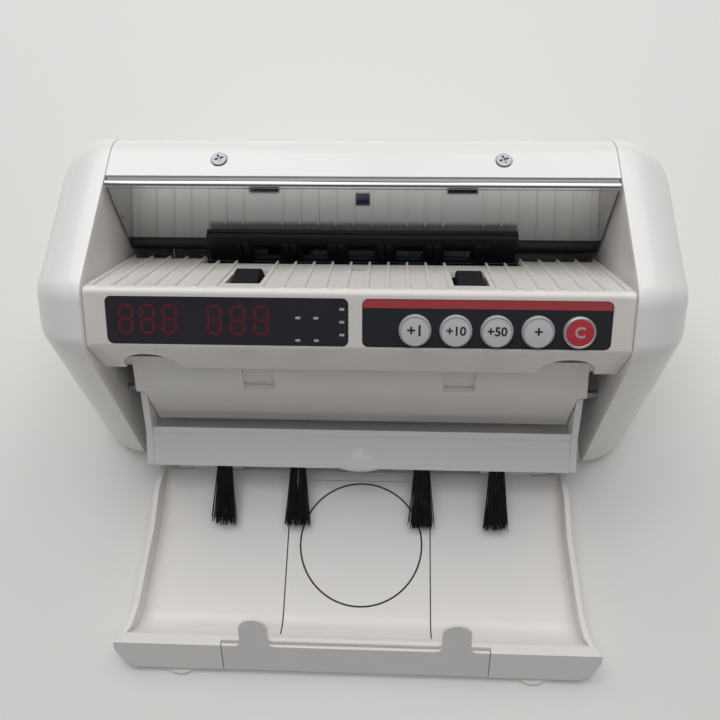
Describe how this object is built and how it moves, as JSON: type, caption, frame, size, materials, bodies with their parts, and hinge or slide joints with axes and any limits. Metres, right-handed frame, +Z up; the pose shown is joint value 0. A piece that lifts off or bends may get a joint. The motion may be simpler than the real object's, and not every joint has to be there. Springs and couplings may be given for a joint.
{
  "type": "banknote_counting_machine",
  "caption": "Desktop banknote counter with a sloped feed hopper, tilted display and key panel, brush shelf and a fold-up receiving tray with a sliding carry handle.",
  "frame": {"origin": "centre of the footprint at the level of the feet", "axes": "+X to the right of a person facing the panel, +Y to the rear, +Z up; the panel and tray face -Y"},
  "size_m": [0.236, 0.194, 0.1005],
  "materials": {
    "white_abs": "gloss",
    "satin_white_abs": "satin",
    "smoked_acrylic": "gloss",
    "black_film": "satin",
    "green_laminate": "satin",
    "red_led": "gloss",
    "black_abs": "satin",
    "polished_steel": "polished",
    "zinc_steel": "satin",
    "motor_steel": "satin",
    "black_rubber": "matte",
    "nylon_bristle": "satin",
    "grey_key": "satin",
    "red_key": "satin",
    "acetal": "satin",
    "lamp_glass": "clear",
    "red_rocker": "gloss"
  },
  "bodies": {
    "housing": {"base_plate": "satin_white_abs", "left_side_cover": "white_abs", "right_side_cover": "white_abs", "left_side_frame": "satin_white_abs", "right_side_frame": "satin_white_abs", "front_cover": "white_abs", "display_window": "smoked_acrylic", "keypad_overlay": "black_film", "display_board": "green_laminate", "digit_modules": "red_led", "indicator_lamps": "red_led", "key_switches": "black_abs", "hopper_sensor": "black_abs", "rear_guide_plate": "polished_steel", "separator_plate": "black_abs", "retard_pads": "black_rubber", "rear_guide_tube": "black_abs", "top_cover": "white_abs", "rear_cover": "white_abs", "cover_screws": "zinc_steel", "outlet_guide_cover": "satin_white_abs", "main_board": "green_laminate", "board_components": "black_abs", "motor": "motor_steel", "motor_screws": "zinc_steel", "shaft_bearings": "zinc_steel", "uv_lamp": "lamp_glass", "magnetic_head": "motor_steel", "count_sensors": "black_abs", "dc_inlet": "black_abs", "switch_housing": "black_abs", "drive_belt": "black_rubber", "pickup_belt": "black_rubber", "stacker_belt": "black_rubber", "base_feet": "black_rubber", "tray_hinge_pins": "zinc_steel", "shelf_pivot_pins": "zinc_steel"},
    "motor_rotor": {"motor_pulley": "motor_steel"},
    "feed_drum": {"feed_shaft": "zinc_steel", "feed_rollers": "black_rubber", "feed_pulleys": "acetal"},
    "pickup_drum": {"pickup_shaft": "zinc_steel", "pickup_rollers": "black_rubber", "pickup_pulley": "acetal"},
    "stacker_drum": {"stacker_shaft": "zinc_steel", "stacker_wheels": "black_abs", "stacker_pulley": "acetal"},
    "receiving_tray": {"tray": "white_abs", "tray_centre_plate": "white_abs", "tray_feet": "satin_white_abs"},
    "handle": {"carry_handle": "satin_white_abs"},
    "shelf": {"shelf_frame": "white_abs", "brush_holders": "black_abs", "brush_bristles": "nylon_bristle"},
    "rocker": {"power_rocker": "red_rocker"},
    "key_1": {"key_plus_one": "grey_key"},
    "key_2": {"key_plus_ten": "grey_key"},
    "key_3": {"key_plus_fifty": "grey_key"},
    "key_4": {"key_function": "grey_key"},
    "key_5": {"key_clear": "red_key"}
  },
  "joints": [
    {"name": "tray_hinge", "type": "hinge", "parent": "housing", "child": "receiving_tray", "pos_m": [0, -0.0112, 0.0042], "axis": [-1, 0, 0], "range_deg": [0, 93], "deforming": ["brush_bristles"]},
    {"name": "shelf_pivot", "type": "hinge", "parent": "housing", "child": "shelf", "pos_m": [0, 0.0105, 0.039], "axis": [1, 0, 0], "range_deg": [0, 35]},
    {"name": "handle_slide", "type": "slide", "parent": "receiving_tray", "child": "handle", "axis": [0, -0.6034, -0.7974], "range_m": [0, 0.0146]},
    {"name": "motor_spin", "type": "hinge", "parent": "housing", "child": "motor_rotor", "pos_m": [0, 0.078, 0.03], "axis": [1, 0, 0], "continuous": true},
    {"name": "feed_spin", "type": "hinge", "parent": "housing", "child": "feed_drum", "pos_m": [0, 0.042, 0.048], "axis": [1, 0, 0], "continuous": true},
    {"name": "pickup_spin", "type": "hinge", "parent": "housing", "child": "pickup_drum", "pos_m": [0, 0.03074, 0.07819], "axis": [1, 0, 0], "continuous": true},
    {"name": "stacker_spin", "type": "hinge", "parent": "housing", "child": "stacker_drum", "pos_m": [0, 0.026, 0.024], "axis": [1, 0, 0], "continuous": true},
    {"name": "rocker_tilt", "type": "hinge", "parent": "housing", "child": "rocker", "pos_m": [-0.035, 0.0944, 0.024], "axis": [1, 0, 0], "range_deg": [0, 14]},
    {"name": "press_plus_one", "type": "slide", "parent": "housing", "child": "key_1", "axis": [0, 0.6129, -0.7902], "range_m": [0, 0.0008], "stiffness_N_per_m": 800},
    {"name": "press_plus_ten", "type": "slide", "parent": "housing", "child": "key_2", "axis": [0, 0.6129, -0.7902], "range_m": [0, 0.0008], "stiffness_N_per_m": 800},
    {"name": "press_plus_fifty", "type": "slide", "parent": "housing", "child": "key_3", "axis": [0, 0.6129, -0.7902], "range_m": [0, 0.0008], "stiffness_N_per_m": 800},
    {"name": "press_function", "type": "slide", "parent": "housing", "child": "key_4", "axis": [0, 0.6129, -0.7902], "range_m": [0, 0.0008], "stiffness_N_per_m": 800},
    {"name": "press_clear", "type": "slide", "parent": "housing", "child": "key_5", "axis": [0, 0.6129, -0.7902], "range_m": [0, 0.0008], "stiffness_N_per_m": 800}
  ],
  "couplings": [
    {"joint": "shelf_pivot", "follows": "tray_hinge", "ratio": 0.37634},
    {"joint": "handle_slide", "follows": "tray_hinge", "m_per_rad": 0.008994},
    {"joint": "feed_spin", "follows": "motor_spin", "ratio": 0.4},
    {"joint": "pickup_spin", "follows": "motor_spin", "ratio": 0.4},
    {"joint": "stacker_spin", "follows": "motor_spin", "ratio": 0.4}
  ]
}
